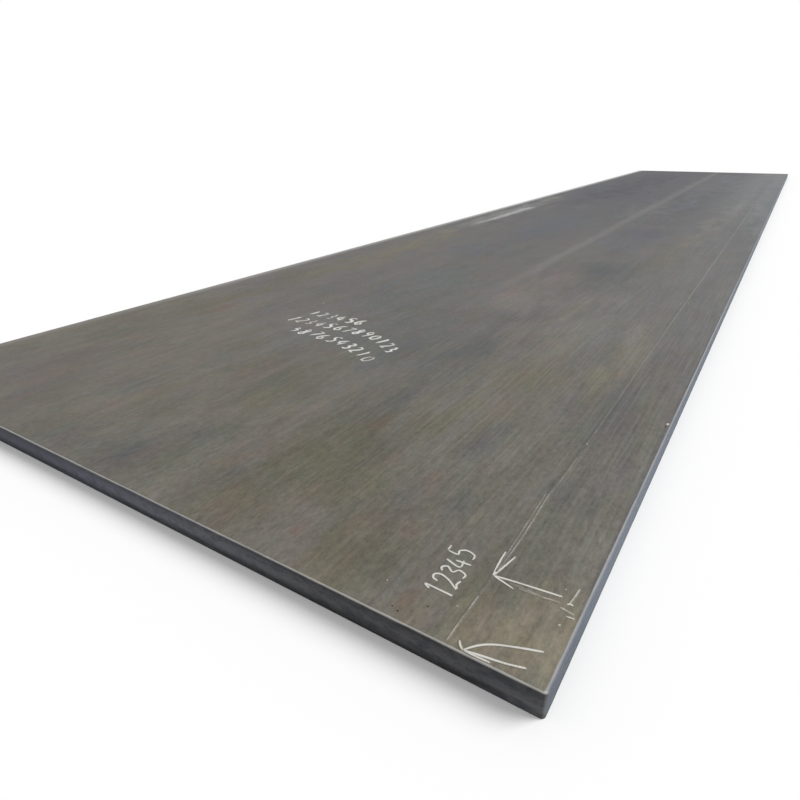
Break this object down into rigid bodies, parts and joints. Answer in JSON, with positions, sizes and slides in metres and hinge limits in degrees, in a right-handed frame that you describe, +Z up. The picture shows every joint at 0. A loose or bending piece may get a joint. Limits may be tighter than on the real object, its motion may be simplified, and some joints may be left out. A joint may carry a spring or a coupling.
{
  "type": "steel plate",
  "caption": "Long heavy rectangular steel plate with flame-cut edges, rounded top arrises and a mill-scale surface, lying flat as raw stock.",
  "frame": {"origin": "centre of the underside", "axes": "+X along the length, which is the rolling direction; +Y across the width; +Z up through the thickness"},
  "size_m": [12.15, 2.5, 0.06],
  "materials": {
    "mill_scale": "matte",
    "cut_face": "matte",
    "chalk": "matte"
  },
  "bodies": {
    "root": {"steel_plate": "mill_scale"}
  },
  "joints": []
}
